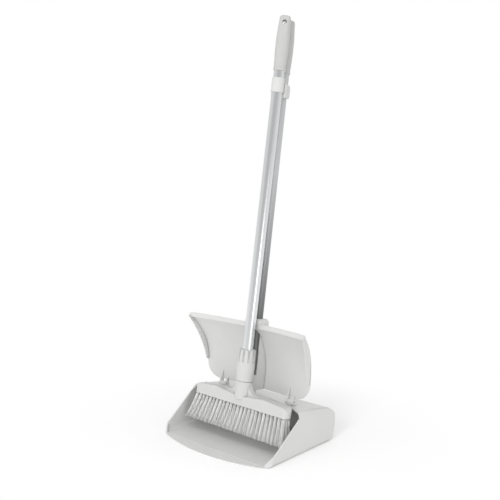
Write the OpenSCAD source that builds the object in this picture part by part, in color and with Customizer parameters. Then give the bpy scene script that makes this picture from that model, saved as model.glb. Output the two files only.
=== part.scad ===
// Lobby dustpan set: a pan hinged under an upright lid with its handle, and an upright broom.
// Millimetres. Z is up from the floor, X to the right, -Y to the front lip.
// The origin lies under the pan, where the axis of the handle meets the floor.

/* [Pan] */
// Width across the side walls at the floor
pan_w = 297; // [260:1:330]
// Corner of the lip in front of the origin
pan_front = 95; // [80:1:110]
// Bow of the lip in front of its corners
lip_bow = 25; // [15:1:32]
// Radius of the lip in plan
lip_r = 385; // [300:5:400]
// Foot of the rear wall behind the origin
pan_rear = 108; // [95:1:125]
// Lean of the rear wall to the back over its height
rear_lean = 12; // [4:1:16]
// Height of the cover at its middle
cover_h = 79.5; // [70:0.5:90]
// Fall of the cover to the rear wall
cover_fall = 13; // [8:1:18]
// Thickness of the floor and walls
pan_wall = 3; // [2:0.1:4]
// Flare of the side walls over their height
wall_flare = 3; // [1:0.5:7]
// Rounding of the cover's side edges
cover_edge = 24; // [10:1:26]
// Thickness of the lip at its edge
lip_edge = 1.2; // [0.8:0.1:2]
// Middle of the cover's front edge behind the origin
mouth_y = 43; // [38:1:48]
// Radius of the cover's front edge in plan
mouth_r = 258; // [240:2:300]

/* [Hinge] */
// Place of each hinge to the side
hinge_x = 94; // [70:1:110]
// Hinge axis behind the origin
hinge_y = 35; // [32:0.5:38]
// Hinge axis above the cover
hinge_rise = 7.6; // [7:0.1:9]
// Radius of a hinge pin
pin_r = 2.5; // [2:0.1:3]
// Radius of a knuckle
knuckle_r = 5.5; // [5:0.1:6]
// Width of the pan's knuckle
knuckle_w = 10; // [8:0.5:14]
// Thickness of each of the lid's ears
ear_t = 4; // [3:0.5:5]
// Height of the outer ear's gusset on the lid
gusset_h = 26; // [18:1:32]
// Height of the other ear on the lid
ear_h = 10; // [6:1:16]
// Gap between a knuckle and an ear
ear_gap = 0.4; // [0.3:0.1:0.8]
// Radial clearance of a pin in the pan's knuckle
pin_play = 0.06; // [0.03:0.01:0.1]

/* [Lid] */
// Width of the lid at its top corners
lid_w = 320; // [300:1:350]
// Width of the lid above its bottom corners
lid_low_w = 286; // [260:1:296]
// Height of the lid along the handle
lid_h = 133; // [125:1:145]
// Bottom edge of the lid above the hinge axis
lid_rise = 8; // [7:0.5:12]
// Thickness of the lid
lid_wall = 2.8; // [2:0.1:3.5]
// Panel behind the handle's axis at the sides
panel_y = 12; // [9:0.5:15]
// Extra depth of the panel at its middle
dish = 17; // [12:1:20]
// Radius of the forward curl at the sides
curl_r = 134; // [125:1:150]
// Start of the curl above the lid's bottom edge
curl_rise = 27; // [15:1:35]
// Radius of the side flange's front edge
flange_r = 305; // [250:5:400]
// Foot of the side flange above the lid's bottom edge
flange_rise = 38; // [30:1:50]
// Radius of the bottom corners
lid_corner = 38; // [20:1:45]
// Height of the rim along the top edge
rim_h = 10; // [6:0.5:12]
// Length of the socket for the handle
socket_l = 41; // [30:1:50]
// Wall of the socket and of the sleeve
socket_wall = 2; // [1.6:0.1:2.2]
// Half width of the sleeve
sleeve_x = 20.5; // [16:0.5:24]
// Top of the sleeve above the lid's top edge
sleeve_rise = 17; // [14:1:22]
// Length of the sleeve
sleeve_l = 54; // [40:1:60]
// Width of the spine behind the handle
spine_t = 26; // [20:0.5:30]

/* [Tubes] */
// Outer radius of both tubes
tube_r = 11; // [9:0.1:11.4]
// Wall of both tubes
tube_wall = 1.2; // [0.8:0.1:2]
// Lean of the handle to the back, in degrees
handle_lean = 9.2; // [8:0.1:10]
// Top of the handle along its axis
handle_top = 875; // [760:1:950]
// Lean of the broom to the back, in degrees
broom_lean = 8.9; // [8.6:0.1:9.2]
// Broom axis in front of the handle axis at the floor
broom_foot = 30.1; // [30:0.1:34]
// Broom axis to the right of the handle axis at the floor
broom_side = 6.2; // [6:0.1:7]
// Lean of the broom to the right, in degrees
broom_roll = 0.68; // [0.6:0.01:0.7]
// Top of the broom above the top of the handle
broom_over = 5; // [2:1:40]
// Radial clearance of what is pushed on or in a tube
push_fit = 0.05; // [0.02:0.01:0.1]

/* [Grips] */
// Length of a grip
grip_l = 112; // [90:1:130]
// Radius of a grip at its belly
grip_r = 13.8; // [13.4:0.1:14.4]
// Length of the belly at the middle of a grip
belly_l = 30; // [20:1:40]
// Radius of the bead at the foot of a grip
bead_r = 12.7; // [12.5:0.1:13.4]
// Radius of a grip at its top
grip_top_r = 11; // [10.5:0.1:12.6]
// Radius of the hanging hole
hang_r = 4.8; // [3:0.1:6]
// Hanging hole below the top of the grip
hang_drop = 14; // [11:0.5:20]
// Turn of the hanging hole in the broom's grip, in degrees
hang_turn = 40; // [0:1:45]
// Half thickness of a grip at its flattened top
hang_flat = 8; // [7:0.1:10]
// Length of the flats
flat_l = 45; // [35:1:55]
// Solid end above the tube
grip_cap = 26; // [22:1:34]

/* [Clip] */
// Height of the clip's ring
clip_h = 29; // [20:1:40]
// Bottom of the broom's grip above the top of the clip
clip_drop = 15; // [8:1:60]
// Wall of the ring
clip_wall = 2; // [1.5:0.1:2.4]
// Thickness of a jaw arm
arm_t = 4.4; // [4.2:0.1:5.4]
// Height of the jaws
jaw_h = 27; // [18:1:30]
// Bottom of the jaws below the bottom of the ring
jaw_drop = 7; // [2:1:10]
// Reach of the jaws past the middle of the handle tube
jaw_reach = 3; // [2:0.5:6]
// Gap between a jaw arm and the handle tube
jaw_gap = 0.7; // [0.65:0.05:0.9]

/* [Broom] */
// Width of the head
head_w = 254; // [220:2:256]
// Depth of the head
head_d = 25; // [22:0.5:27]
// Underside of the head above the floor along the broom
head_z = 79; // [70:1:84]
// Height of the head at its middle
head_h = 26; // [22:1:30]
// Radius of the boss
boss_r = 17; // [15.5:0.1:17.4]
// Top of the boss above the underside
boss_h = 49; // [42:1:54]
// Radius of the neck inside the collar
neck_r = 14; // [13:0.1:15]
// Length of the neck
neck_l = 32; // [24:1:40]
// Length of the collar
collar_l = 66; // [56:1:76]
// Radius of the collar at its foot
collar_r = 18.6; // [17.5:0.1:19]
// Radius of the collar at its top
collar_top_r = 17.2; // [16:0.1:18]
// Number of flutes round the collar
flute_n = 10; // [8:1:14]
// Length of a flute
flute_l = 25; // [16:1:30]
// Radial clearance of the collar on its neck and tube
collar_play = 0.1; // [0.05:0.01:0.1]

/* [Bristles] */
// Number of tufts in a row
tuft_n = 25; // [21:1:27]
// Spacing of the tufts
tuft_pitch = 9.9; // [8.5:0.1:9.9]
// Spacing of the rows
row_pitch = 7.4; // [7.2:0.1:7.6]
// Width of a strand at its root
strand_w = 2.6; // [1.6:0.1:2.8]
// Gap between the strands of a tuft
strand_gap = 1; // [0.5:0.1:1.2]
// Free length of the bristles
bristle_l = 58; // [45:1:62]
// Spread of the tips to the sides
fan_x = 0.1; // [0:0.01:0.11]
// Set of the tips to the left
tip_set = 8; // [7:0.1:10]
// Spread of the tips to the front and back
fan_y = 0.5; // [0.2:0.05:0.9]
// Thickness of the backing strip of a row
strip_t = 2.6; // [1.5:0.1:4]

/* [Hidden] */
$fn = 64;

plastic = "lightgray";
past = 1;
seat_gap = 0.3;

// Pan, in the floor's frame
rear_corner = 13;
front_corner = 34;
cover_mid_y = 60;
cover_rise = 0.118;
floor_edge = 9;
rear_foot_r = 10;
rear_top_r = 20;
ridge_r = 200;
lip_y = -pan_front - 2 * lip_bow;
cover_rear_y = pan_rear + rear_lean;
pan_l = cover_rear_y - lip_y;
wall_x = pan_w / 2 + wall_flare;
nose_l = 20;
nose_h = 24;
cheek_y = -6;
cheek_z = cover_h - 4;
function cover_z(y) = cover_h + (cover_mid_y - y) * cover_rise;
hinge_z = cover_z(hinge_y) + hinge_rise;

// Handle frame: turned about X so that z runs up the handle's axis
function to_handle(y, z) = [y * cos(handle_lean) - z * sin(handle_lean),
    y * sin(handle_lean) + z * cos(handle_lean)];
hinge_at = to_handle(hinge_y, hinge_z);
lid_z0 = hinge_at[1] + lid_rise;
lid_z1 = lid_z0 + lid_h;
curl_y = panel_y - curl_r;
curl_z = lid_z0 + curl_rise;
panel_half = 155;
arc_steps = 24;
band_w = lid_w + 20;
panel_r = (panel_half * panel_half + dish * dish) / (2 * dish);
panel_cy = panel_y + dish - panel_r;
rim_rise = lid_z1 - curl_z;
rim_mid_y = curl_y + sqrt(pow(curl_r + dish, 2) - rim_rise * rim_rise);
rim_side_y = curl_y + sqrt(curl_r * curl_r - rim_rise * rim_rise);
rim_sag = rim_mid_y - rim_side_y;
rim_r = (panel_half * panel_half + rim_sag * rim_sag) / (2 * rim_sag);
socket_r = tube_r + socket_wall;
socket_z0 = hinge_at[1] - 1;
socket_floor = 4;
tube_z0 = socket_z0 + socket_floor;
sleeve_z1 = lid_z1 + sleeve_rise;
sleeve_edge = 9;
sleeve_front = -16;
sleeve_back = 14;
grip_z0 = handle_top - grip_l;
screw_r = 2;
screw_z = socket_z0 + socket_l * 0.55;
screw_l = 15;
screw_head_r = 3.6;
screw_head_t = 2.2;
plug_l = 40;
ear_x = knuckle_w / 2 + ear_gap;
pin_l = knuckle_w + 2 * (ear_gap + ear_t);

// Broom frame: turned about X through its own foot, with z up the broom's axis
broom_top = handle_top + broom_over;
broom_grip_z0 = broom_top - grip_l;
clip_z1 = broom_grip_z0 - clip_drop;
clip_z0 = clip_z1 - clip_h;
broom_dist = broom_foot * cos(broom_lean);
clip_mid = clip_z0 - jaw_drop + jaw_h / 2;
handle_ahead = broom_dist + clip_mid * sin(handle_lean - broom_lean);
clip_side = broom_side + clip_mid * sin(broom_roll);
tubes_apart = norm([clip_side, handle_ahead]);
jaw_turn = atan2(clip_side, handle_ahead);
boss_z1 = head_z + boss_h;
neck_z1 = boss_z1 + neck_l;
collar_z0 = boss_z1 + seat_gap;
collar_z1 = collar_z0 + collar_l;
flute_r = 2;
flute_deep = 2.2;
flute_tilt = 5;
insert_z0 = head_z + head_h * 0.4;
insert_r = 8;
broom_tube_z0 = head_z + head_h;
insert_l = 30;
insert_z1 = broom_tube_z0 + insert_l;
strip_w = tuft_n * tuft_pitch + 1;
pocket_gap = 0.1;

// A convex outline with its corners rounded by true arcs
function toward(a, b) = (b - a) / norm(b - a);
function half_angle(p, a, b) = acos(toward(p, a) * toward(p, b)) / 2;
function arc_centre(p, a, b, r) =
    p + toward([0, 0], toward(p, a) + toward(p, b)) * r / sin(half_angle(p, a, b));
function tangents(p, a, b, r) = r == 0 ? [p] :
    [p + toward(p, a) * r / tan(half_angle(p, a, b)), p + toward(p, b) * r / tan(half_angle(p, a, b))];
function before(pts, i) = pts[(i + len(pts) - 1) % len(pts)];
function after(pts, i) = pts[(i + 1) % len(pts)];
function inset(pts, d) =
    [for (i = [0:len(pts) - 1]) arc_centre(pts[i], before(pts, i), after(pts, i), d)];
function less(radii, d) = [for (r = radii) r == 0 ? 0 : max(r - d, 0.5)];

module rounded(pts, radii) {
    polygon([for (i = [0:len(pts) - 1]) each tangents(pts[i], before(pts, i), after(pts, i), radii[i])]);
    for (i = [0:len(pts) - 1])
        if (radii[i] > 0)
            round_corner(pts[i], before(pts, i), after(pts, i), radii[i]);
}

module round_corner(p, a, b, r) {
    ends = tangents(p, a, b, r);
    chord = (ends[0] + ends[1]) / 2;
    intersection() {
        translate(arc_centre(p, a, b, r)) circle(r, $fn = max(64, min(360, r * 4)));
        polygon([ends[0], p, ends[1], chord + (chord - p) * 0.4]);
    }
}

module along_x(w) {
    rotate([90, 0, 90]) linear_extrude(w, center = true) children();
}

module along_y(d) {
    rotate([90, 0, 0]) linear_extrude(d, center = true) children();
}

module handle_frame() {
    rotate([-handle_lean, 0, 0]) children();
}

module broom_frame() {
    translate([broom_side, -broom_foot, 0]) rotate([-broom_lean, 0, 0]) rotate([0, broom_roll, 0])
        children();
}

// Pan: a moulded scoop with a covered rear box
side_pts = [[lip_y - past, 0], [pan_rear, 0], [cover_rear_y, cover_h - cover_fall],
    [cover_mid_y, cover_h], [lip_y - past, cover_z(lip_y)]];
side_radii = [0, rear_foot_r, rear_top_r, ridge_r, 0];
plan_pts = [[-wall_x, -pan_front], [0, lip_y], [wall_x, -pan_front], [wall_x, cover_rear_y],
    [-wall_x, cover_rear_y]];
plan_radii = [front_corner, lip_r, front_corner, rear_corner, rear_corner];
front_pts = [[-pan_w / 2, 0], [pan_w / 2, 0], [wall_x + wall_flare, 2 * cover_h],
    [-wall_x - wall_flare, 2 * cover_h]];
front_radii = [floor_edge, floor_edge, 0, 0];
cover_pts = [[-wall_x, -pan_l], [wall_x, -pan_l], [wall_x, past], [-wall_x, past]];
cover_radii = [0, 0, cover_edge, cover_edge];
cover_tilt = atan((cover_z(hinge_y) - cover_h + cover_fall) / (cover_rear_y - hinge_y));

module pan_block(d) {
    intersection() {
        along_x(2 * wall_x + 2 * past) rounded(inset(side_pts, d), less(side_radii, d));
        translate([0, 0, -past]) linear_extrude(cover_z(lip_y) + 2 * past)
            rounded(inset(plan_pts, d), less(plan_radii, d));
        along_y(4 * pan_l)
            rounded(inset(front_pts, d), less(front_radii, d));
        translate([0, cover_mid_y, cover_h]) rotate([-cover_tilt, 0, 0]) along_y(4 * pan_l)
            rounded(inset(cover_pts, d), less(cover_radii, d));
    }
}

// The front edge of a side wall runs out to the lip in a curve
function between(a, b, t) = a + (b - a) * t;
function swept(a, b, c, n) =
    [for (i = [0:n]) let (t = i / n) between(between(a, b, t), between(b, c, t), t)];
nose_pts = swept([-pan_front - 1, pan_wall * 0.8], [-pan_front + nose_l * 0.12, nose_h * 0.6],
    [-pan_front + nose_l, nose_h], 8);

module pan_mouth() {
    far = lip_y - 2 * past;
    high = cover_z(lip_y) + 2 * past;
    along_x(2 * wall_x + 4 * wall_flare)
        polygon(concat([[far, lip_edge], [-pan_front - lip_bow, lip_edge]], nose_pts,
            [[cheek_y, cheek_z], [cheek_y + 4, high], [far, high]]));
    inner_x = pan_w / 2 - pan_wall - past;
    intersection() {
        translate([0, mouth_y - mouth_r, cover_h / 2]) cylinder(r = mouth_r, h = high, $fn = 200);
        along_y(2 * pan_l)
            polygon([[-inner_x, 0], [inner_x, 0], [inner_x, cheek_z], [2 * wall_x, cheek_z],
                [2 * wall_x, 2 * high], [-2 * wall_x, 2 * high], [-2 * wall_x, cheek_z], [-inner_x, cheek_z]]);
    }
}

module pan_knuckle() {
    translate([0, hinge_y, hinge_z]) along_x(knuckle_w) {
        circle(knuckle_r);
        translate([-knuckle_r, -hinge_rise - pan_wall / 2])
            square([2 * knuckle_r, hinge_rise + pan_wall / 2]);
    }
}

module pan_body() {
    color(plastic) difference() {
        union() {
            difference() {
                pan_block(0);
                pan_block(pan_wall);
                pan_mouth();
            }
            for (side = [-1, 1])
                translate([side * hinge_x, 0, 0]) pan_knuckle();
        }
        for (side = [-1, 1])
            translate([side * hinge_x, hinge_y, hinge_z]) rotate([0, 90, 0])
                cylinder(r = pin_r + pin_play, h = knuckle_w + 2 * past, center = true);
    }
}

// Lid: a dished panel that curls forward at the top, with flanges at its sides
// Seen from the front its sides are upright above the round bottom corners and flare to the top
side_bend = 1.8;
outline_steps = 12;
function backwards(list) = [for (i = [len(list) - 1:-1:0]) list[i]];
function corner_points(d) = [for (i = [0:outline_steps]) let (a = 90 * i / outline_steps)
    [lid_low_w / 2 - lid_corner + (lid_corner - d) * sin(a),
        lid_z0 + lid_corner - (lid_corner - d) * cos(a)]];
function side_points(d) = [for (i = [1:outline_steps]) let (t = i / outline_steps)
    [lid_low_w / 2 + (lid_w - lid_low_w) / 2 * pow(t, side_bend) - d,
        lid_z0 + lid_corner + (lid_h - lid_corner) * t]];
function mirrored(pts) = [for (p = pts) [-p[0], p[1]]];

module lid_outline(d) {
    half = concat(corner_points(d), side_points(d));
    polygon(concat(half, backwards(mirrored(half))));
}

// A thin arc that bulges to +y, w wide, t thick outside the radius r
function arc_points(r, w) =
    [for (i = [0:arc_steps]) let (x = w / 2 - w * i / arc_steps) [x, sqrt(r * r - x * x)]];
module arc_band(r, t, w) {
    polygon(concat(arc_points(r + t, w), backwards(arc_points(r, w))));
}

module lid_panel() {
    intersection() {
        union() {
            translate([0, panel_cy, lid_z0 - past]) linear_extrude(curl_z - lid_z0 + past)
                arc_band(panel_r, lid_wall, band_w);
            translate([0, curl_y, curl_z]) rotate([90, 0, 90]) rotate_extrude(angle = 90, $fn = 256)
                translate([panel_cy - curl_y, 0]) rotate(-90) arc_band(panel_r, lid_wall, band_w);
        }
        along_y(4 * curl_r) lid_outline(0);
    }
}

// Front edge of a flange: an arc through its foot and its tip, with the centre in front
flange_foot = [panel_y - 4, lid_z0 + flange_rise];
flange_tip = [rim_side_y - 4, lid_z1 - 3];
flange_mid = (flange_foot + flange_tip) / 2;
flange_way = toward(flange_foot, flange_tip);
flange_deep = sqrt(pow(flange_r, 2) - pow(norm(flange_tip - flange_mid), 2));
flange_at = flange_mid - [flange_way[1], -flange_way[0]] * flange_deep;

// Back of a flange: half a wall into the panel, where the panel stands at the lid's side edge
edge_out = panel_cy + sqrt(panel_r * panel_r - lid_w * lid_w / 4) - curl_y - curl_r;
flange_back = curl_r + lid_wall / 2 + max(0, edge_out);

module lid_flange() {
    intersection() {
        along_x(lid_w) difference() {
            intersection() {
                translate([curl_y, curl_z]) circle(flange_back, $fn = 256);
                translate([-curl_r, flange_foot[1]]) square(2 * curl_r);
            }
            translate(flange_at) circle(flange_r, $fn = 256);
        }
        along_y(4 * curl_r) difference() {
            lid_outline(0);
            lid_outline(lid_wall);
            translate([2 * lid_wall - lid_w / 2, lid_z1 - 4 * lid_wall])
                square([lid_w - 4 * lid_wall, lid_h]);
        }
    }
}

module lid_rim() {
    intersection() {
        translate([0, rim_mid_y - rim_r, lid_z1 - lid_wall])
            linear_extrude(rim_h) arc_band(rim_r, lid_wall, band_w);
        translate([0, rim_mid_y, 0]) along_y(4 * curl_r)
            rounded([[-lid_w / 2, lid_z0], [lid_w / 2, lid_z0], [lid_w / 2, lid_z1 + rim_h - lid_wall],
                [-lid_w / 2, lid_z1 + rim_h - lid_wall]], [0, 0, 6, 6]);
    }
}

module lid_ear(x, reach) {
    heel_y = hinge_y + 9;
    heel = to_handle(heel_y, cover_z(heel_y) + seat_gap);
    back = panel_cy + sqrt(panel_r * panel_r - x * x) + lid_wall / 2;
    translate([x, 0, 0]) along_x(ear_t) {
        translate(hinge_at) circle(knuckle_r);
        polygon([[hinge_at[0] - knuckle_r, hinge_at[1]], [hinge_at[0], hinge_at[1] - knuckle_r + past],
            [heel[0] - 3, heel[1] + 1.5], [heel[0], heel[1] + past], [back, lid_z0 + 2],
            [back, lid_z0 + reach]]);
    }
}

module lid_sleeve() {
    difference() {
        translate([0, (sleeve_front + sleeve_back) / 2, 0]) along_y(sleeve_back - sleeve_front)
            rounded([[-sleeve_x, sleeve_z1 - sleeve_l], [sleeve_x, sleeve_z1 - sleeve_l],
                [sleeve_x, sleeve_z1], [-sleeve_x, sleeve_z1]], [0, 0, sleeve_edge, sleeve_edge]);
        translate([0, curl_y, curl_z]) rotate([0, 90, 0])
            cylinder(r = curl_r + dish + lid_wall / 2, h = 4 * sleeve_x, center = true, $fn = 256);
    }
}

module lid_spine() {
    back_y = panel_y + dish + lid_wall / 2;
    along_x(spine_t) intersection() {
        translate([0, lid_z0]) square([back_y, lid_h]);
        union() {
            translate([0, lid_z0]) square([back_y, curl_rise]);
            translate([curl_y, curl_z]) circle(back_y - curl_y, $fn = 256);
        }
    }
}

module lid() {
    color(plastic) handle_frame() difference() {
        union() {
            lid_panel();
            lid_flange();
            lid_rim();
            lid_sleeve();
            translate([0, 0, socket_z0]) cylinder(r = socket_r, h = socket_l);
            lid_spine();
            for (side = [-1, 1]) {
                lid_ear(side * hinge_x - ear_x - ear_t / 2, gusset_h);
                lid_ear(side * hinge_x + ear_x + ear_t / 2, ear_h);
            }
        }
        translate([0, 0, tube_z0]) cylinder(r = tube_r + push_fit, h = lid_h + sleeve_l);
        translate([0, 0, screw_z]) rotate([0, -90, 0])
            cylinder(r = screw_r + push_fit, h = 2 * socket_r);
        translate([-socket_r + socket_wall / 2, 0, screw_z]) rotate([0, -90, 0])
            cylinder(r = screw_head_r + push_fit, h = socket_r);
        for (side = [-1, 1])
            translate([side * hinge_x, hinge_at[0], hinge_at[1]]) rotate([0, 90, 0])
                cylinder(r = pin_r + push_fit / 2, h = pin_l + 2 * past, center = true);
    }
}

module hinge_pin(side) {
    color("silver") translate([side * hinge_x, hinge_y, hinge_z]) rotate([0, 90, 0])
        cylinder(r = pin_r, h = pin_l, center = true);
}

// Handle: an aluminium tube in the lid's socket and sleeve, with a plug, a screw and a grip
module tube(z0, z1) {
    difference() {
        translate([0, 0, z0]) cylinder(r = tube_r, h = z1 - z0);
        translate([0, 0, z0 - past]) cylinder(r = tube_r - tube_wall, h = z1 - z0 + 2 * past);
    }
}

module screw_hole() {
    translate([screw_l / 4, 0, screw_z]) rotate([0, -90, 0])
        cylinder(r = screw_r + push_fit, h = 2 * socket_r);
}

module handle_tube() {
    color("gainsboro") handle_frame() difference() {
        tube(tube_z0 + seat_gap, handle_top - grip_cap);
        screw_hole();
    }
}

module handle_tube_plug() {
    color("dimgray") handle_frame() difference() {
        translate([0, 0, tube_z0 + seat_gap]) cylinder(r = tube_r - tube_wall - push_fit, h = plug_l);
        screw_hole();
    }
}

module socket_screw() {
    color("silver") handle_frame() translate([-socket_r + socket_wall / 2, 0, screw_z]) rotate([0, 90, 0]) {
        cylinder(r = screw_r, h = screw_l - socket_wall);
        translate([0, 0, -screw_head_t]) cylinder(r = screw_head_r, h = screw_head_t);
    }
}

module grip(z0) {
    dome = 5;
    bead_h = 7;
    bead_edge = 1.5;
    waist_r = bead_r - 0.7;
    belly_z = (grip_l - belly_l) / 2;
    difference() {
        translate([0, 0, z0]) rotate_extrude($fn = 96) {
            rounded([[0, 0], [bead_r, 0], [bead_r, bead_h], [0, bead_h]], [0, bead_edge, bead_edge, 0]);
            rounded([[0, bead_h / 2], [waist_r, bead_h / 2], [grip_r, belly_z], [grip_r, belly_z + belly_l],
                [grip_top_r, grip_l], [0, grip_l]], [0, 0, 0, 0, dome, 0]);
        }
        translate([0, 0, z0 - past]) cylinder(r = tube_r + push_fit, h = grip_l - grip_cap + past);
        translate([0, 0, z0 + grip_l - hang_drop]) rotate([90, 0, 0])
            cylinder(r = hang_r, h = 4 * grip_r, center = true);
        for (side = [0, 180])
            rotate([0, 0, side]) translate([0, 0, z0 + grip_l]) along_x(4 * grip_r)
                polygon([[hang_flat, past], [grip_r + past / 10, -flat_l], [2 * grip_r, -flat_l],
                    [2 * grip_r, past]]);
    }
}

module handle_grip() {
    color("whitesmoke") handle_frame() grip(grip_z0);
}

// Broom: head with a boss, three rows of bristles, tube, locking collar, clip and grip
module head_block() {
    top_z = head_z + head_h;
    end_z = head_z + head_h * 0.78;
    end_edge = 15;
    top_edge = 90;
    side_edge = 11;
    intersection() {
        translate([0, 0, head_z]) linear_extrude(2 * head_h)
            rounded([[-head_w / 2, -head_d / 2], [head_w / 2, -head_d / 2], [head_w / 2, head_d / 2],
                [-head_w / 2, head_d / 2]], [side_edge, side_edge, side_edge, side_edge]);
        along_y(2 * head_d)
            rounded([[-head_w / 2 - past, head_z - past], [head_w / 2 + past, head_z - past],
                [head_w / 2 + past, end_z], [head_w / 5, top_z], [-head_w / 5, top_z],
                [-head_w / 2 - past, end_z]], [0, 0, end_edge, top_edge, top_edge, end_edge]);
    }
}

module head_boss() {
    rotate_extrude($fn = 96)
        polygon([[0, head_z + head_h / 2], [boss_r, head_z + head_h / 2], [boss_r, boss_z1],
            [neck_r, boss_z1], [neck_r, neck_z1], [0, neck_z1]]);
}

module head_web() {
    sweep_r = 30;
    web_t = 12;
    web_front = -4;
    sink = 4;
    web_z = head_z + head_h - 2 * sink;
    web_x = boss_r + sweep_r;
    difference() {
        translate([-web_x, web_front, web_z]) cube([2 * web_x, web_t, boss_z1 - sink - web_z]);
        for (side = [-1, 1])
            translate([side * (web_x - 2), 0, head_z + head_h - sink + sweep_r]) rotate([90, 0, 0])
                cylinder(r = sweep_r, h = 4 * head_d, center = true, $fn = 128);
    }
}

// A hollow along the front of the top, deep at the boss and running out towards the end
module head_hollow() {
    hollow_r = 16;
    hollow_l = 62;
    hollow_tilt = 7;
    for (side = [-1, 1])
        translate([side * hollow_l, -head_d / 2, head_z + head_h + hollow_r - past])
            rotate([0, -side * (90 + hollow_tilt), 0]) cylinder(r = hollow_r, h = hollow_l, $fn = 96);
}

module broom_head() {
    color(plastic) broom_frame() difference() {
        union() {
            difference() {
                head_block();
                head_hollow();
            }
            head_web();
            head_boss();
        }
        translate([0, 0, broom_tube_z0]) cylinder(r = tube_r + push_fit, h = boss_h + neck_l);
        translate([0, 0, insert_z0]) cylinder(r = insert_r + push_fit, h = head_h);
        translate([-strip_w / 2 - pocket_gap, -1.5 * row_pitch - pocket_gap, head_z - past])
            cube([strip_w + 2 * pocket_gap, 3 * row_pitch + 2 * pocket_gap, strip_t + past]);
    }
}

// One row of bristles: a backing strip whose underside runs out into four-sided strands
strands_x = 2;
strands_y = 2;
step = strand_w + strand_gap;
function strand_start(i, n) = (i - (n - 1) / 2) * step - strand_w / 2;
function tuft_x(t) = (t - (tuft_n - 1) / 2) * tuft_pitch;
strip_y = row_pitch / 2 - pocket_gap / 2;
x_cuts = [-strip_w / 2, for (t = [0:tuft_n - 1]) for (s = [0:strands_x - 1])
    each [tuft_x(t) + strand_start(s, strands_x), tuft_x(t) + strand_start(s, strands_x) + strand_w],
    strip_w / 2];
y_cuts = [-strip_y, for (s = [0:strands_y - 1])
    each [strand_start(s, strands_y), strand_start(s, strands_y) + strand_w], strip_y];
nx = len(x_cuts);
ny = len(y_cuts);
tip_scale = 0.7;
tip_uneven = 2.5;

function tip_x(x) = x * (1 + fan_x) - tip_set;
function tip_y(y, row) = row * row_pitch * (1 + fan_y) + y * (1 + fan_y);
function tip_z(i, j) = head_z - bristle_l + tip_uneven * (0.5 + 0.5 * sin(137 * i + 71 * j));

module bristle_row(row) {
    root = [for (i = [0:nx - 1]) for (j = [0:ny - 1]) [x_cuts[i], row * row_pitch + y_cuts[j], head_z]];
    roof = [for (x = [x_cuts[0], x_cuts[nx - 1]]) for (y = [y_cuts[0], y_cuts[ny - 1]])
        [x, row * row_pitch + y, head_z + strip_t]];
    cells = [for (i = [1:2:nx - 3]) for (j = [1:2:ny - 3]) [i, j]];
    tips = [for (c = cells) for (a = [0, 1]) for (b = [0, 1])
        let (xm = (x_cuts[c[0]] + x_cuts[c[0] + 1]) / 2, ym = (y_cuts[c[1]] + y_cuts[c[1] + 1]) / 2)
        [tip_x(xm) + (a - 0.5) * strand_w * tip_scale,
            tip_y(ym, row) + (b - 0.5) * strand_w * tip_scale, tip_z(c[0], c[1])]];
    roof_at = nx * ny;
    tips_at = roof_at + 4;
    under = [for (i = [0:nx - 2]) for (j = [0:ny - 2]) if (i % 2 == 0 || j % 2 == 0)
        [i * ny + j, i * ny + j + 1, (i + 1) * ny + j + 1, (i + 1) * ny + j]];
    sides = [for (k = [0:len(cells) - 1])
        let (i = cells[k][0], j = cells[k][1], t = tips_at + 4 * k,
            r = [i * ny + j, (i + 1) * ny + j, (i + 1) * ny + j + 1, i * ny + j + 1],
            e = [t, t + 2, t + 3, t + 1])
        each [[r[0], e[0], e[1], r[1]], [r[1], e[1], e[2], r[2]], [r[2], e[2], e[3], r[3]],
            [r[3], e[3], e[0], r[0]], [e[3], e[2], e[1], e[0]]]];
    front = [roof_at, for (i = [0:nx - 1]) i * ny, roof_at + 2];
    back = [roof_at + 3, for (i = [nx - 1:-1:0]) i * ny + ny - 1, roof_at + 1];
    left = [roof_at + 1, for (j = [ny - 1:-1:0]) j, roof_at];
    right = [roof_at + 2, for (j = [0:ny - 1]) (nx - 1) * ny + j, roof_at + 3];
    top = [roof_at, roof_at + 2, roof_at + 3, roof_at + 1];
    outward = concat(under, sides, [front, back, left, right, top]);
    faces = [for (f = outward) backwards(f)];
    triangles = [for (f = faces) for (i = [1:len(f) - 2]) [f[0], f[i], f[i + 1]]];
    color("lightgray") broom_frame() polyhedron(concat(root, roof, tips), triangles);
}

module thread_insert() {
    color("dimgray") broom_frame() {
        translate([0, 0, insert_z0]) cylinder(r = insert_r, h = insert_z1 - insert_z0);
        translate([0, 0, broom_tube_z0])
            cylinder(r = tube_r - tube_wall - push_fit, h = insert_z1 - broom_tube_z0);
    }
}

module lock_collar() {
    color(plastic) broom_frame() difference() {
        difference() {
            translate([0, 0, collar_z0]) rotate_extrude($fn = 96)
                rounded([[0, 0], [collar_r - 1, 0], [collar_r, collar_l * 0.4], [collar_top_r, collar_l],
                    [0, collar_l]], [0, 2, 0, 3, 0]);
            for (i = [0:flute_n - 1])
                rotate([0, 0, 360 / flute_n * i])
                    translate([collar_r + flute_r - flute_deep, 0, collar_z1 - flute_l]) rotate([0, -flute_tilt, 0])
                        cylinder(r = flute_r, h = flute_l + 4 * past, $fn = 8);
        }
        translate([0, 0, collar_z0 - past]) cylinder(r = neck_r + collar_play, h = neck_l + seat_gap + past);
        translate([0, 0, collar_z0]) cylinder(r = tube_r + collar_play, h = collar_l + past);
    }
}

module broom_tube() {
    color("gainsboro") broom_frame() tube(broom_tube_z0, broom_top - grip_cap);
}

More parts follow.
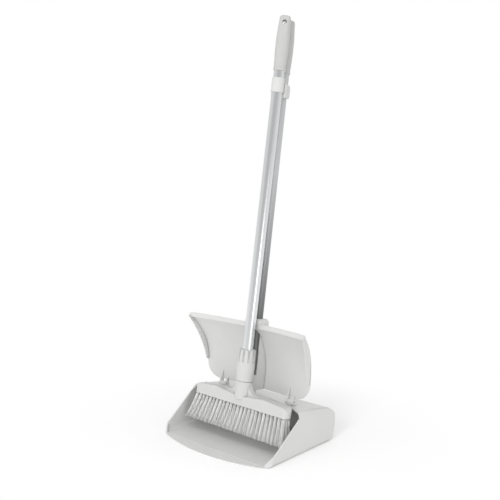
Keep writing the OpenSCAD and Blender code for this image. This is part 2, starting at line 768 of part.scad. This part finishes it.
// The clip's ring holds the broom tube, and its jaws, set lower, take the handle tube
module clip_jaws() {
    root_y = tube_r + clip_wall - arm_t;
    jaw_end = tubes_apart + jaw_reach;
    jaw_x = tube_r + jaw_gap + arm_t;
    end_edge = 9;
    translate([0, 0, -jaw_drop]) intersection() {
        linear_extrude(jaw_h)
            rounded([[-jaw_x, root_y], [jaw_x, root_y], [jaw_x, jaw_end], [-jaw_x, jaw_end]],
                [arm_t, arm_t, 0, 0]);
        along_x(4 * jaw_x)
            rounded([[0, 0], [jaw_end, 0], [jaw_end, jaw_h], [0, jaw_h]], [0, end_edge, end_edge, 0]);
    }
}

module broom_clip() {
    ring_r = tube_r + push_fit + clip_wall;
    arm_x = tube_r + jaw_gap;
    slot_x = tube_r + jaw_gap * 0.8;
    cut_h = clip_h + jaw_h;
    color("whitesmoke") broom_frame() translate([0, 0, clip_z0]) rotate([0, 0, jaw_turn]) difference() {
        union() {
            cylinder(r = ring_r, h = clip_h);
            clip_jaws();
        }
        translate([0, 0, -jaw_drop - past]) cylinder(r = tube_r + push_fit, h = cut_h);
        translate([0, tubes_apart, -jaw_drop - past]) cylinder(r = arm_x, h = cut_h);
        translate([0, tubes_apart, -jaw_drop - past]) rotate([0, 0, -jaw_turn]) translate([-slot_x, 0, 0])
            cube([2 * slot_x, 3 * tube_r, cut_h]);
    }
}

module broom_grip() {
    color("whitesmoke") broom_frame() rotate([0, 0, hang_turn]) grip(broom_grip_z0);
}

pan_body();
lid();
hinge_pin(-1);  // hinge_pin_left
hinge_pin(1);  // hinge_pin_right
handle_tube();
handle_tube_plug();
socket_screw();
handle_grip();
broom_head();
bristle_row(-1);  // front_bristles
bristle_row(0);  // middle_bristles
bristle_row(1);  // rear_bristles
thread_insert();
lock_collar();
broom_tube();
broom_clip();
broom_grip();
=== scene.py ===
import math
import random

import bmesh
import bpy
from mathutils import Matrix, Vector


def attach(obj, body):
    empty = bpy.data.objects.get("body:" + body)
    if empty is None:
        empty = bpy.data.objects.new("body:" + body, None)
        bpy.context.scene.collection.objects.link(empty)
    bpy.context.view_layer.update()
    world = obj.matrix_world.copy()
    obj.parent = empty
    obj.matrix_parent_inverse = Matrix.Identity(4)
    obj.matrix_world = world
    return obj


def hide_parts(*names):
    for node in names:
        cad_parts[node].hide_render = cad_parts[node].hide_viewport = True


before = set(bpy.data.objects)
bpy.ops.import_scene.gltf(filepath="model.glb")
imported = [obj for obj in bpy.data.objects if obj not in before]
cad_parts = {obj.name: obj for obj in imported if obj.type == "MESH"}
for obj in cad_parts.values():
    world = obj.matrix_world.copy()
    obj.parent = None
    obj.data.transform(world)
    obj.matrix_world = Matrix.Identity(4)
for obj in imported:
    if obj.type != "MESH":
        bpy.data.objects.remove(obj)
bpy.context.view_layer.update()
scene = bpy.context.scene
scene.view_settings.view_transform = "Standard"


# The photographer's camera: a normal lens at the height of the handle's upper half,
# turned to the pan's right front corner and looking a little down.
camera_turn, camera_fall = math.radians(41.9), math.radians(8.5)
camera_back = Vector((math.sin(camera_turn) * math.cos(camera_fall),
                      -math.cos(camera_turn) * math.cos(camera_fall), math.sin(camera_fall)))
camera = bpy.data.objects.new("camera", bpy.data.cameras.new("camera"))
scene.collection.objects.link(camera)
camera.data.sensor_width = 36
camera.data.lens = 36 * 827 / 500
camera.data.clip_start, camera.data.clip_end = 0.05, 60
camera.location = (1.120, -1.232, 0.647)
camera.rotation_mode = "QUATERNION"
camera.rotation_quaternion = (-camera_back).to_track_quat("-Z", "Y")
scene.camera = camera


# The studio: a white sweep of paper under the pan, a soft box in front that fills lid and scoop,
# a weaker one low at the right that draws the streak on the tubes, and white walls.
MM = 0.001


def linear(hex_colour):
    parts = [int(hex_colour[i:i + 2], 16) / 255 for i in (1, 3, 5)]
    return [p / 12.92 if p <= 0.04045 else ((p + 0.055) / 1.055) ** 2.4 for p in parts] + [1]


def add(tree, kind, values={}, links={}, **settings):
    made = tree.nodes.new(kind)
    for name, value in settings.items():
        setattr(made, name, value)
    for name, value in values.items():
        made.inputs[name].default_value = value
    for name, source in links.items():
        tree.links.new(source, made.inputs[name])
    return made


def finish_named(name):
    made = bpy.data.materials.new(name)
    made.use_nodes = True
    made.node_tree.nodes.clear()
    return made, made.node_tree


# Matt uncoated paper: a hardly visible grain. It glows a little to the eye, so that it is white
# and keeps the pan's shadow, and it runs out to blank white away from the pan.
paper, tree = finish_named("white_paper_sweep")
place = add(tree, "ShaderNodeTexCoord").outputs["Object"]
grain = add(tree, "ShaderNodeTexNoise", {"Scale": 1 / (1.1 * MM), "Detail": 2.0}, {"Vector": place})
tone = add(tree, "ShaderNodeMapRange", {"To Min": 0.92, "To Max": 0.94}, {"Value": grain.outputs["Fac"]})
matt = add(tree, "ShaderNodeBsdfDiffuse", {}, {"Color": tone.outputs["Result"]})
rays = add(tree, "ShaderNodeLightPath")
mirrored = add(tree, "ShaderNodeMath", {},
               {0: rays.outputs["Is Glossy Ray"], 1: rays.outputs["Is Transmission Ray"]},
               operation="MAXIMUM")
looked_at = add(tree, "ShaderNodeMath", {}, {0: rays.outputs["Is Camera Ray"], 1: mirrored.outputs[0]},
                operation="MAXIMUM")
glow = add(tree, "ShaderNodeMath", {1: 0.125}, {0: looked_at.outputs[0]}, operation="MULTIPLY")
lit = add(tree, "ShaderNodeEmission", {}, {"Strength": glow.outputs[0]})
near = add(tree, "ShaderNodeAddShader", {}, {0: matt.outputs[0], 1: lit.outputs[0]})
reach = add(tree, "ShaderNodeVectorMath", {}, {0: place}, operation="LENGTH")
fade = add(tree, "ShaderNodeMapRange", {"From Min": 0.2, "From Max": 0.5},
           {"Value": reach.outputs["Value"]}, interpolation_type="SMOOTHSTEP")
away = add(tree, "ShaderNodeMath", {}, {0: fade.outputs["Result"], 1: looked_at.outputs[0]},
           operation="MULTIPLY")
blank = add(tree, "ShaderNodeEmission", {"Strength": 1.0})
sweep = add(tree, "ShaderNodeMixShader", {}, {0: away.outputs[0], 1: near.outputs[0], 2: blank.outputs[0]})
add(tree, "ShaderNodeOutputMaterial", {}, {"Surface": sweep.outputs[0]})
sheet = bmesh.new()
bmesh.ops.create_grid(sheet, x_segments=1, y_segments=1, size=30)
floor = bpy.data.objects.new("paper_sweep", bpy.data.meshes.new("paper_sweep"))
sheet.to_mesh(floor.data)
sheet.free()
floor.data.materials.append(paper)
scene.collection.objects.link(floor)

walls = bpy.data.worlds.new("white_walls")
walls.use_nodes = True
tree = walls.node_tree
tree.nodes.clear()
rays = add(tree, "ShaderNodeLightPath")
seen = add(tree, "ShaderNodeMath", {},
           {0: rays.outputs["Is Camera Ray"], 1: rays.outputs["Is Transmission Ray"]}, operation="MAXIMUM")
room = add(tree, "ShaderNodeBackground", {"Color": (1, 1, 1, 1), "Strength": 0.79})
# What gleams on the metal: the walls, and the room's dimmer end behind the camera's stand.
way = add(tree, "ShaderNodeTexCoord").outputs["Generated"]
room_end = add(tree, "ShaderNodeVectorMath", {1: tuple(camera_back)}, {0: way}, operation="DOT_PRODUCT")
dimmer = add(tree, "ShaderNodeMapRange", {"From Min": 0.3, "From Max": 1.0, "To Min": 0.88, "To Max": 0.62},
             {"Value": room_end.outputs["Value"]}, interpolation_type="SMOOTHSTEP")
gleam = add(tree, "ShaderNodeBackground", {"Color": (1, 1, 1, 1)}, {"Strength": dimmer.outputs["Result"]})
white = add(tree, "ShaderNodeBackground", {"Color": (1, 1, 1, 1), "Strength": 1.0})
lights = add(tree, "ShaderNodeMixShader", {},
             {0: rays.outputs["Is Glossy Ray"], 1: room.outputs[0], 2: gleam.outputs[0]})
either = add(tree, "ShaderNodeMixShader", {}, {0: seen.outputs[0], 1: lights.outputs[0], 2: white.outputs[0]})
add(tree, "ShaderNodeOutputWorld", {}, {"Surface": either.outputs[0]})
scene.world = walls

lamp_aim = Vector((0, 0, 0.3))
for name, stand, width, height, watts, draws_streak in (
        ("soft_box_front", (0.9, -2.5, 1.4), 0.9, 0.9, 28, False),
        ("soft_box_right", (2.2, -0.75, 0.2), 1.1, 0.7, 4, True)):
    lamp = bpy.data.objects.new(name, bpy.data.lights.new(name, "AREA"))
    lamp.data.shape, lamp.data.size, lamp.data.size_y, lamp.data.energy = "RECTANGLE", width, height, watts
    lamp.location = stand
    lamp.visible_glossy = draws_streak
    lamp.rotation_mode = "QUATERNION"
    lamp.rotation_quaternion = (lamp_aim - Vector(stand)).to_track_quat("-Z", "Y")
    scene.collection.objects.link(lamp)


# Pan: a scoop with a covered rear box, injection moulded in pale grey polypropylene.
# It is one shell with softened edges, satin from the polished tool.
def moulding(node, piece, edge):
    form = bmesh.new()
    form.from_mesh(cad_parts[node].data)
    bmesh.ops.remove_doubles(form, verts=form.verts, dist=2e-6)
    bmesh.ops.dissolve_limit(form, angle_limit=math.radians(0.4), verts=form.verts, edges=form.edges)
    made = bpy.data.objects.new(piece, bpy.data.meshes.new(piece))
    for face in form.faces:
        face.smooth = True
    form.to_mesh(made.data)
    form.free()
    soften = made.modifiers.new("soft_edges", "BEVEL")
    soften.width, soften.segments, soften.profile = edge, 2, 0.5
    soften.limit_method, soften.angle_limit = "ANGLE", math.radians(35)
    flat = made.modifiers.new("flat_faces", "WEIGHTED_NORMAL")
    flat.mode, flat.weight = "FACE_AREA", 100
    scene.collection.objects.link(made)
    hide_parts(node)
    return made


def moulded_plastic(name, colour, gloss):
    # Polypropylene from a polished tool: a broad soft sheen, a hardly visible orange peel,
    # slight flow clouds in the colour, and painted shade that greys flutes and inner corners.
    made, tree = finish_named(name)
    place = add(tree, "ShaderNodeTexCoord").outputs["Object"]
    clouds = add(tree, "ShaderNodeTexNoise", {"Scale": 1 / (45 * MM), "Detail": 3.0}, {"Vector": place})
    shade = add(tree, "ShaderNodeHueSaturation", {"Color": linear(colour)})
    lift = add(tree, "ShaderNodeMapRange", {"To Min": 0.965, "To Max": 1.035},
               {"Value": clouds.outputs["Fac"]})
    # Painted shade: the colour darkens where the piece's own hollows close in, in flutes and inner corners.
    hollow = add(tree, "ShaderNodeAmbientOcclusion", {"Distance": 5 * MM}, only_local=True, samples=8)
    painted_shade = add(tree, "ShaderNodeMapRange", {"From Min": 0.3, "From Max": 0.9, "To Min": 0.62, "To Max": 1.0},
               {"Value": hollow.outputs["AO"]})
    clouds_and_painted_shade = add(tree, "ShaderNodeMath", {}, {0: lift.outputs["Result"], 1: painted_shade.outputs["Result"]},
                operation="MULTIPLY")
    tree.links.new(clouds_and_painted_shade.outputs["Value"], shade.inputs["Value"])
    peel = add(tree, "ShaderNodeTexNoise", {"Scale": 1 / (1.6 * MM), "Detail": 2.0}, {"Vector": place})
    relief = add(tree, "ShaderNodeBump", {"Strength": 0.12, "Distance": 0.05 * MM},
                 {"Height": peel.outputs["Fac"]})
    polish = add(tree, "ShaderNodeMapRange", {"To Min": gloss - 0.04, "To Max": gloss + 0.05},
                 {"Value": clouds.outputs["Fac"]})
    skin = add(tree, "ShaderNodeBsdfPrincipled", {"IOR": 1.49},
               {"Base Color": shade.outputs["Color"], "Roughness": polish.outputs["Result"],
                "Normal": relief.outputs["Normal"]})
    add(tree, "ShaderNodeOutputMaterial", {}, {"Surface": skin.outputs["BSDF"]})
    return made


polypropylene = moulded_plastic("moulded_polypropylene", "#D8D8D7", 0.34)
pan = moulding("pan_body", "pan_shell", 0.7 * MM)
pan.data.materials.append(polypropylene)
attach(pan, "pan")


# Lid: one dished plate that curls forward at its top, with flanges, hinge ears, the socket and
# the sleeve moulded on; the same polypropylene as the pan.
lid = moulding("lid", "lid_plate", 0.5 * MM)
lid.data.materials.append(polypropylene)
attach(lid, "handle")


# Hinge pins and socket screw: drawn steel wire and a pressed pan-head screw,
# bright zinc plate gone a little dull.
zinc_plate, tree = finish_named("zinc_plated_steel")
place = add(tree, "ShaderNodeTexCoord").outputs["Object"]
bloom = add(tree, "ShaderNodeTexNoise", {"Scale": 1 / (1.2 * MM), "Detail": 3.0}, {"Vector": place})
dull = add(tree, "ShaderNodeMapRange", {"To Min": 0.3, "To Max": 0.45}, {"Value": bloom.outputs["Fac"]})
skin = add(tree, "ShaderNodeBsdfPrincipled", {"Base Color": linear("#B9BBBE"), "Metallic": 1.0},
           {"Roughness": dull.outputs["Result"]})
add(tree, "ShaderNodeOutputMaterial", {}, {"Surface": skin.outputs["BSDF"]})
for node in ("hinge_pin_left", "hinge_pin_right", "socket_screw"):
    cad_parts[node].data.materials.clear()
    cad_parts[node].data.materials.append(zinc_plate)


# Tubes: drawn aluminium, 22 mm across, satin anodised, with fine die lines along their length.
# The handle's tube stands in the lid and has painted shade that greys its foot, the broom's tube stands in
# its head.
def drawn_aluminium(name, lean, foot, top, gloss):
    # A long soft streak down the tube, broken by the die lines. These are drawn about 0.7 mm apart
    # so that they show; real ones are finer.
    made, tree = finish_named(name)
    place = add(tree, "ShaderNodeTexCoord").outputs["Object"]
    upright = add(tree, "ShaderNodeMapping", {"Rotation": (lean, 0, 0)}, {"Vector": place})
    drawn = add(tree, "ShaderNodeMapping", {"Scale": (1, 1, 0.004)}, {"Vector": upright.outputs[0]})
    lines = add(tree, "ShaderNodeTexNoise", {"Scale": 1 / (0.7 * MM), "Detail": 2.0},
                {"Vector": drawn.outputs[0]})
    polish = add(tree, "ShaderNodeMapRange", {"To Min": gloss - 0.05, "To Max": gloss + 0.05},
                 {"Value": lines.outputs["Fac"]})
    relief = add(tree, "ShaderNodeBump", {"Strength": 0.05, "Distance": 0.02 * MM},
                 {"Height": lines.outputs["Fac"]})
    # Painted shade: the colour runs from foot to top along the tube's height, strongly darker at the handle
    # tube's foot, slightly darker at the broom tube's top.
    height = add(tree, "ShaderNodeSeparateXYZ", {}, {"Vector": place}).outputs["Z"]
    painted_shade_rise = add(tree, "ShaderNodeMapRange", {"From Min": 0.25, "From Max": 0.55}, {"Value": height})
    tint = add(tree, "ShaderNodeValToRGB", {}, {"Fac": painted_shade_rise.outputs["Result"]})
    tint.color_ramp.elements[0].color, tint.color_ramp.elements[1].color = linear(foot), linear(top)
    skin = add(tree, "ShaderNodeBsdfPrincipled", {"Metallic": 1.0},
               {"Base Color": tint.outputs["Color"], "Roughness": polish.outputs["Result"],
                "Normal": relief.outputs["Normal"]})
    add(tree, "ShaderNodeOutputMaterial", {}, {"Surface": skin.outputs["BSDF"]})
    return made


for node, lean, foot, top, gloss in (("handle_tube", 9.2, "#757576", "#CCCDCE", 0.45),
                                     ("broom_tube", 8.9, "#E4E5E6", "#DCDDDE", 0.25)):
    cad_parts[node].data.materials.clear()
    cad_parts[node].data.materials.append(
        drawn_aluminium(node + "_anodised", math.radians(lean), foot, top, gloss))


# Tube plug and thread insert: plain dark nylon pieces pushed into the tubes' lower ends,
# matt as they come from the tool.
nylon, tree = finish_named("dark_nylon")
place = add(tree, "ShaderNodeTexCoord").outputs["Object"]
mottle = add(tree, "ShaderNodeTexNoise", {"Scale": 1 / (3 * MM), "Detail": 3.0}, {"Vector": place})
matt = add(tree, "ShaderNodeMapRange", {"To Min": 0.5, "To Max": 0.65}, {"Value": mottle.outputs["Fac"]})
skin = add(tree, "ShaderNodeBsdfPrincipled", {"Base Color": linear("#3A3A3A"), "IOR": 1.53},
           {"Roughness": matt.outputs["Result"]})
add(tree, "ShaderNodeOutputMaterial", {}, {"Surface": skin.outputs["BSDF"]})
for node in ("handle_tube_plug", "thread_insert"):
    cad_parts[node].data.materials.clear()
    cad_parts[node].data.materials.append(nylon)


# Grips and clip: polypropylene with a softer sheen than the pan's. The grips are pushed over the
# tube ends and carry painted shade, the clip's plastic written darker; the clip sits round the broom's tube
# and holds the handle's.
pale_polypropylene = moulded_plastic("pale_moulded_polypropylene", "#D6D6D5", 0.42)
# Painted shade: the grips' plastic is the clip's, written darker.
shaded_grip_polypropylene = moulded_plastic("grip_painted_shade_polypropylene", "#C4C4C3", 0.42)
for node, piece, edge, body, finish in (
        ("handle_grip", "handle_grip_sleeve", 0.5 * MM, "handle", shaded_grip_polypropylene),
        ("broom_grip", "broom_grip_sleeve", 0.5 * MM, "broom", shaded_grip_polypropylene),
        ("broom_clip", "broom_clip_body", 0.6 * MM, "broom", pale_polypropylene)):
    made = moulding(node, piece, edge)
    made.data.materials.append(finish)
    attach(made, body)


# Broom head and locking collar: a moulded bridge with a boss for the tube, and the fluted collar
# that is turned by hand to lock it, both in a polypropylene a shade under the pan's.
broom_polypropylene = moulded_plastic("broom_moulded_polypropylene", "#D0D0CF", 0.34)
for node, piece, edge, body in (("broom_head", "broom_bridge", 0.8 * MM, "broom"),
                                ("lock_collar", "fluted_collar", 0.3 * MM, "collar")):
    made = moulding(node, piece, edge)
    made.data.materials.append(broom_polypropylene)
    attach(made, body)


# Bristles: rows of tufts of crimped polyester filament, each tuft stapled into the bridge.
# A tuft is tight at its root and opens towards the floor, so that the tips close up.
# The filament is milky: light goes a little way into it, and whole bunches differ in tone.
filament, tree = finish_named("polyester_filament")
place = add(tree, "ShaderNodeTexCoord").outputs["Object"]
strandwise = add(tree, "ShaderNodeMapping", {"Scale": (1, 1, 0.03)}, {"Vector": place})
bunch = add(tree, "ShaderNodeTexNoise", {"Scale": 1 / (1.4 * MM), "Detail": 2.0},
            {"Vector": strandwise.outputs[0]})
tint = add(tree, "ShaderNodeValToRGB", {}, {"Fac": bunch.outputs["Fac"]})
tint.color_ramp.elements[0].position, tint.color_ramp.elements[0].color = 0.3, linear("#E4E4E3")
tint.color_ramp.elements[1].position, tint.color_ramp.elements[1].color = 0.7, linear("#F8F8F7")
skin = add(tree, "ShaderNodeBsdfPrincipled",
           {"Roughness": 0.45, "IOR": 1.57, "Subsurface Weight": 0.5, "Subsurface Radius": (1, 1, 1),
            "Subsurface Scale": 2 * MM}, {"Base Color": tint.outputs["Color"]})
add(tree, "ShaderNodeOutputMaterial", {}, {"Surface": skin.outputs["BSDF"]})

broom_side, broom_foot, broom_lean, broom_roll = 6.2, -30.1, math.radians(8.9), math.radians(0.68)
broom_place = (Matrix.Translation((broom_side * MM, broom_foot * MM, 0))
               @ Matrix.Rotation(-broom_lean, 4, "X") @ Matrix.Rotation(broom_roll, 4, "Y"))
root_z, bristle_l, tuft_pitch, row_pitch, tuft_n = 79, 58, 9.9, 7.4, 25
strand_r, tuft_r, spread_x, spread_y, tip_set = 0.5, 3.2, 0.1, 0.5, 8
root_draw, tip_flare, tip_stray, trim_l, uneven_l, rooted_l = 0.86, 1.6, 0.5, 0.4, 2.2, 1
strip_w, strip_t, strip_corner, strip_gap = 248.5, 2.6, 3.4, 0.1
strand = bmesh.new()
bmesh.ops.create_cone(strand, cap_ends=True, segments=5, radius1=strand_r, radius2=strand_r, depth=1)
bmesh.ops.translate(strand, verts=strand.verts, vec=(0, 0, -0.5))
for cut in (-0.3, -0.55, -0.8):
    bmesh.ops.bisect_plane(strand, geom=strand.verts[:] + strand.edges[:] + strand.faces[:],
                           plane_co=(0, 0, cut), plane_no=(0, 0, 1))
strand_mesh = bpy.data.meshes.new("strand")
strand.to_mesh(strand_mesh)
strand_size = len(strand.verts)
strand.free()
chance = random.Random(7)
for node, row in (("front_bristles", -1), ("middle_bristles", 0), ("rear_bristles", 1)):
    tufts = bmesh.new()
    for tuft in range(tuft_n):
        tuft_x, tuft_y = (tuft - (tuft_n - 1) / 2) * tuft_pitch, row * row_pitch
        for ring, count in ((0.0, 1), (0.4, 6), (0.72, 12), (1.0, 18)):
            for step in range(count):
                turn = 2 * math.pi * (step + 0.5 * ring) / count + chance.uniform(-0.2, 0.2)
                out = Vector((math.cos(turn), math.sin(turn))) * ring
                root = Vector((tuft_x, tuft_y)) + out * tuft_r * root_draw
                tip = Vector((tuft_x * (1 + spread_x) - tip_set, tuft_y * (1 + spread_y)))
                tip += out * tuft_r * tip_flare
                tip += Vector((chance.uniform(-tip_stray, tip_stray), chance.uniform(-tip_stray, tip_stray)))
                length = bristle_l - trim_l - uneven_l * chance.random()
                tufts.from_mesh(strand_mesh)
                tufts.verts.ensure_lookup_table()
                for vert in tufts.verts[-strand_size:]:
                    down = -vert.co.z
                    bend = down * (0.75 + 0.25 * down)
                    centre = root.lerp(tip, bend)
                    thin = 1 - 0.25 * down
                    vert.co = (centre.x + vert.co.x * thin, centre.y + vert.co.y * thin,
                               root_z + rooted_l - down * (length + rooted_l))
    strip_place = Matrix.Translation((0, row * row_pitch, root_z + strip_t / 2))
    strip_size = Matrix.Diagonal((strip_w, row_pitch - strip_gap, strip_t, 1))
    backing = bmesh.ops.create_cube(tufts, size=1, matrix=strip_place @ strip_size)["verts"]
    outer = [edge for edge in tufts.edges
             if all(vert in backing and vert.co.y * row > row_pitch for vert in edge.verts)
             and edge.verts[0].co.x == edge.verts[1].co.x]
    bmesh.ops.bevel(tufts, geom=outer, offset=strip_corner, offset_type="OFFSET", segments=3, profile=0.5,
                    affect="EDGES", material=-1)
    bmesh.ops.transform(tufts, verts=tufts.verts, matrix=broom_place @ Matrix.Scale(MM, 4))
    for face in tufts.faces:
        face.smooth = len(face.verts) == 4
    made = bpy.data.objects.new(node.replace("bristles", "tufts"), bpy.data.meshes.new(node))
    tufts.to_mesh(made.data)
    tufts.free()
    made.data.materials.append(filament)
    scene.collection.objects.link(made)
    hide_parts(node)
    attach(made, "broom")
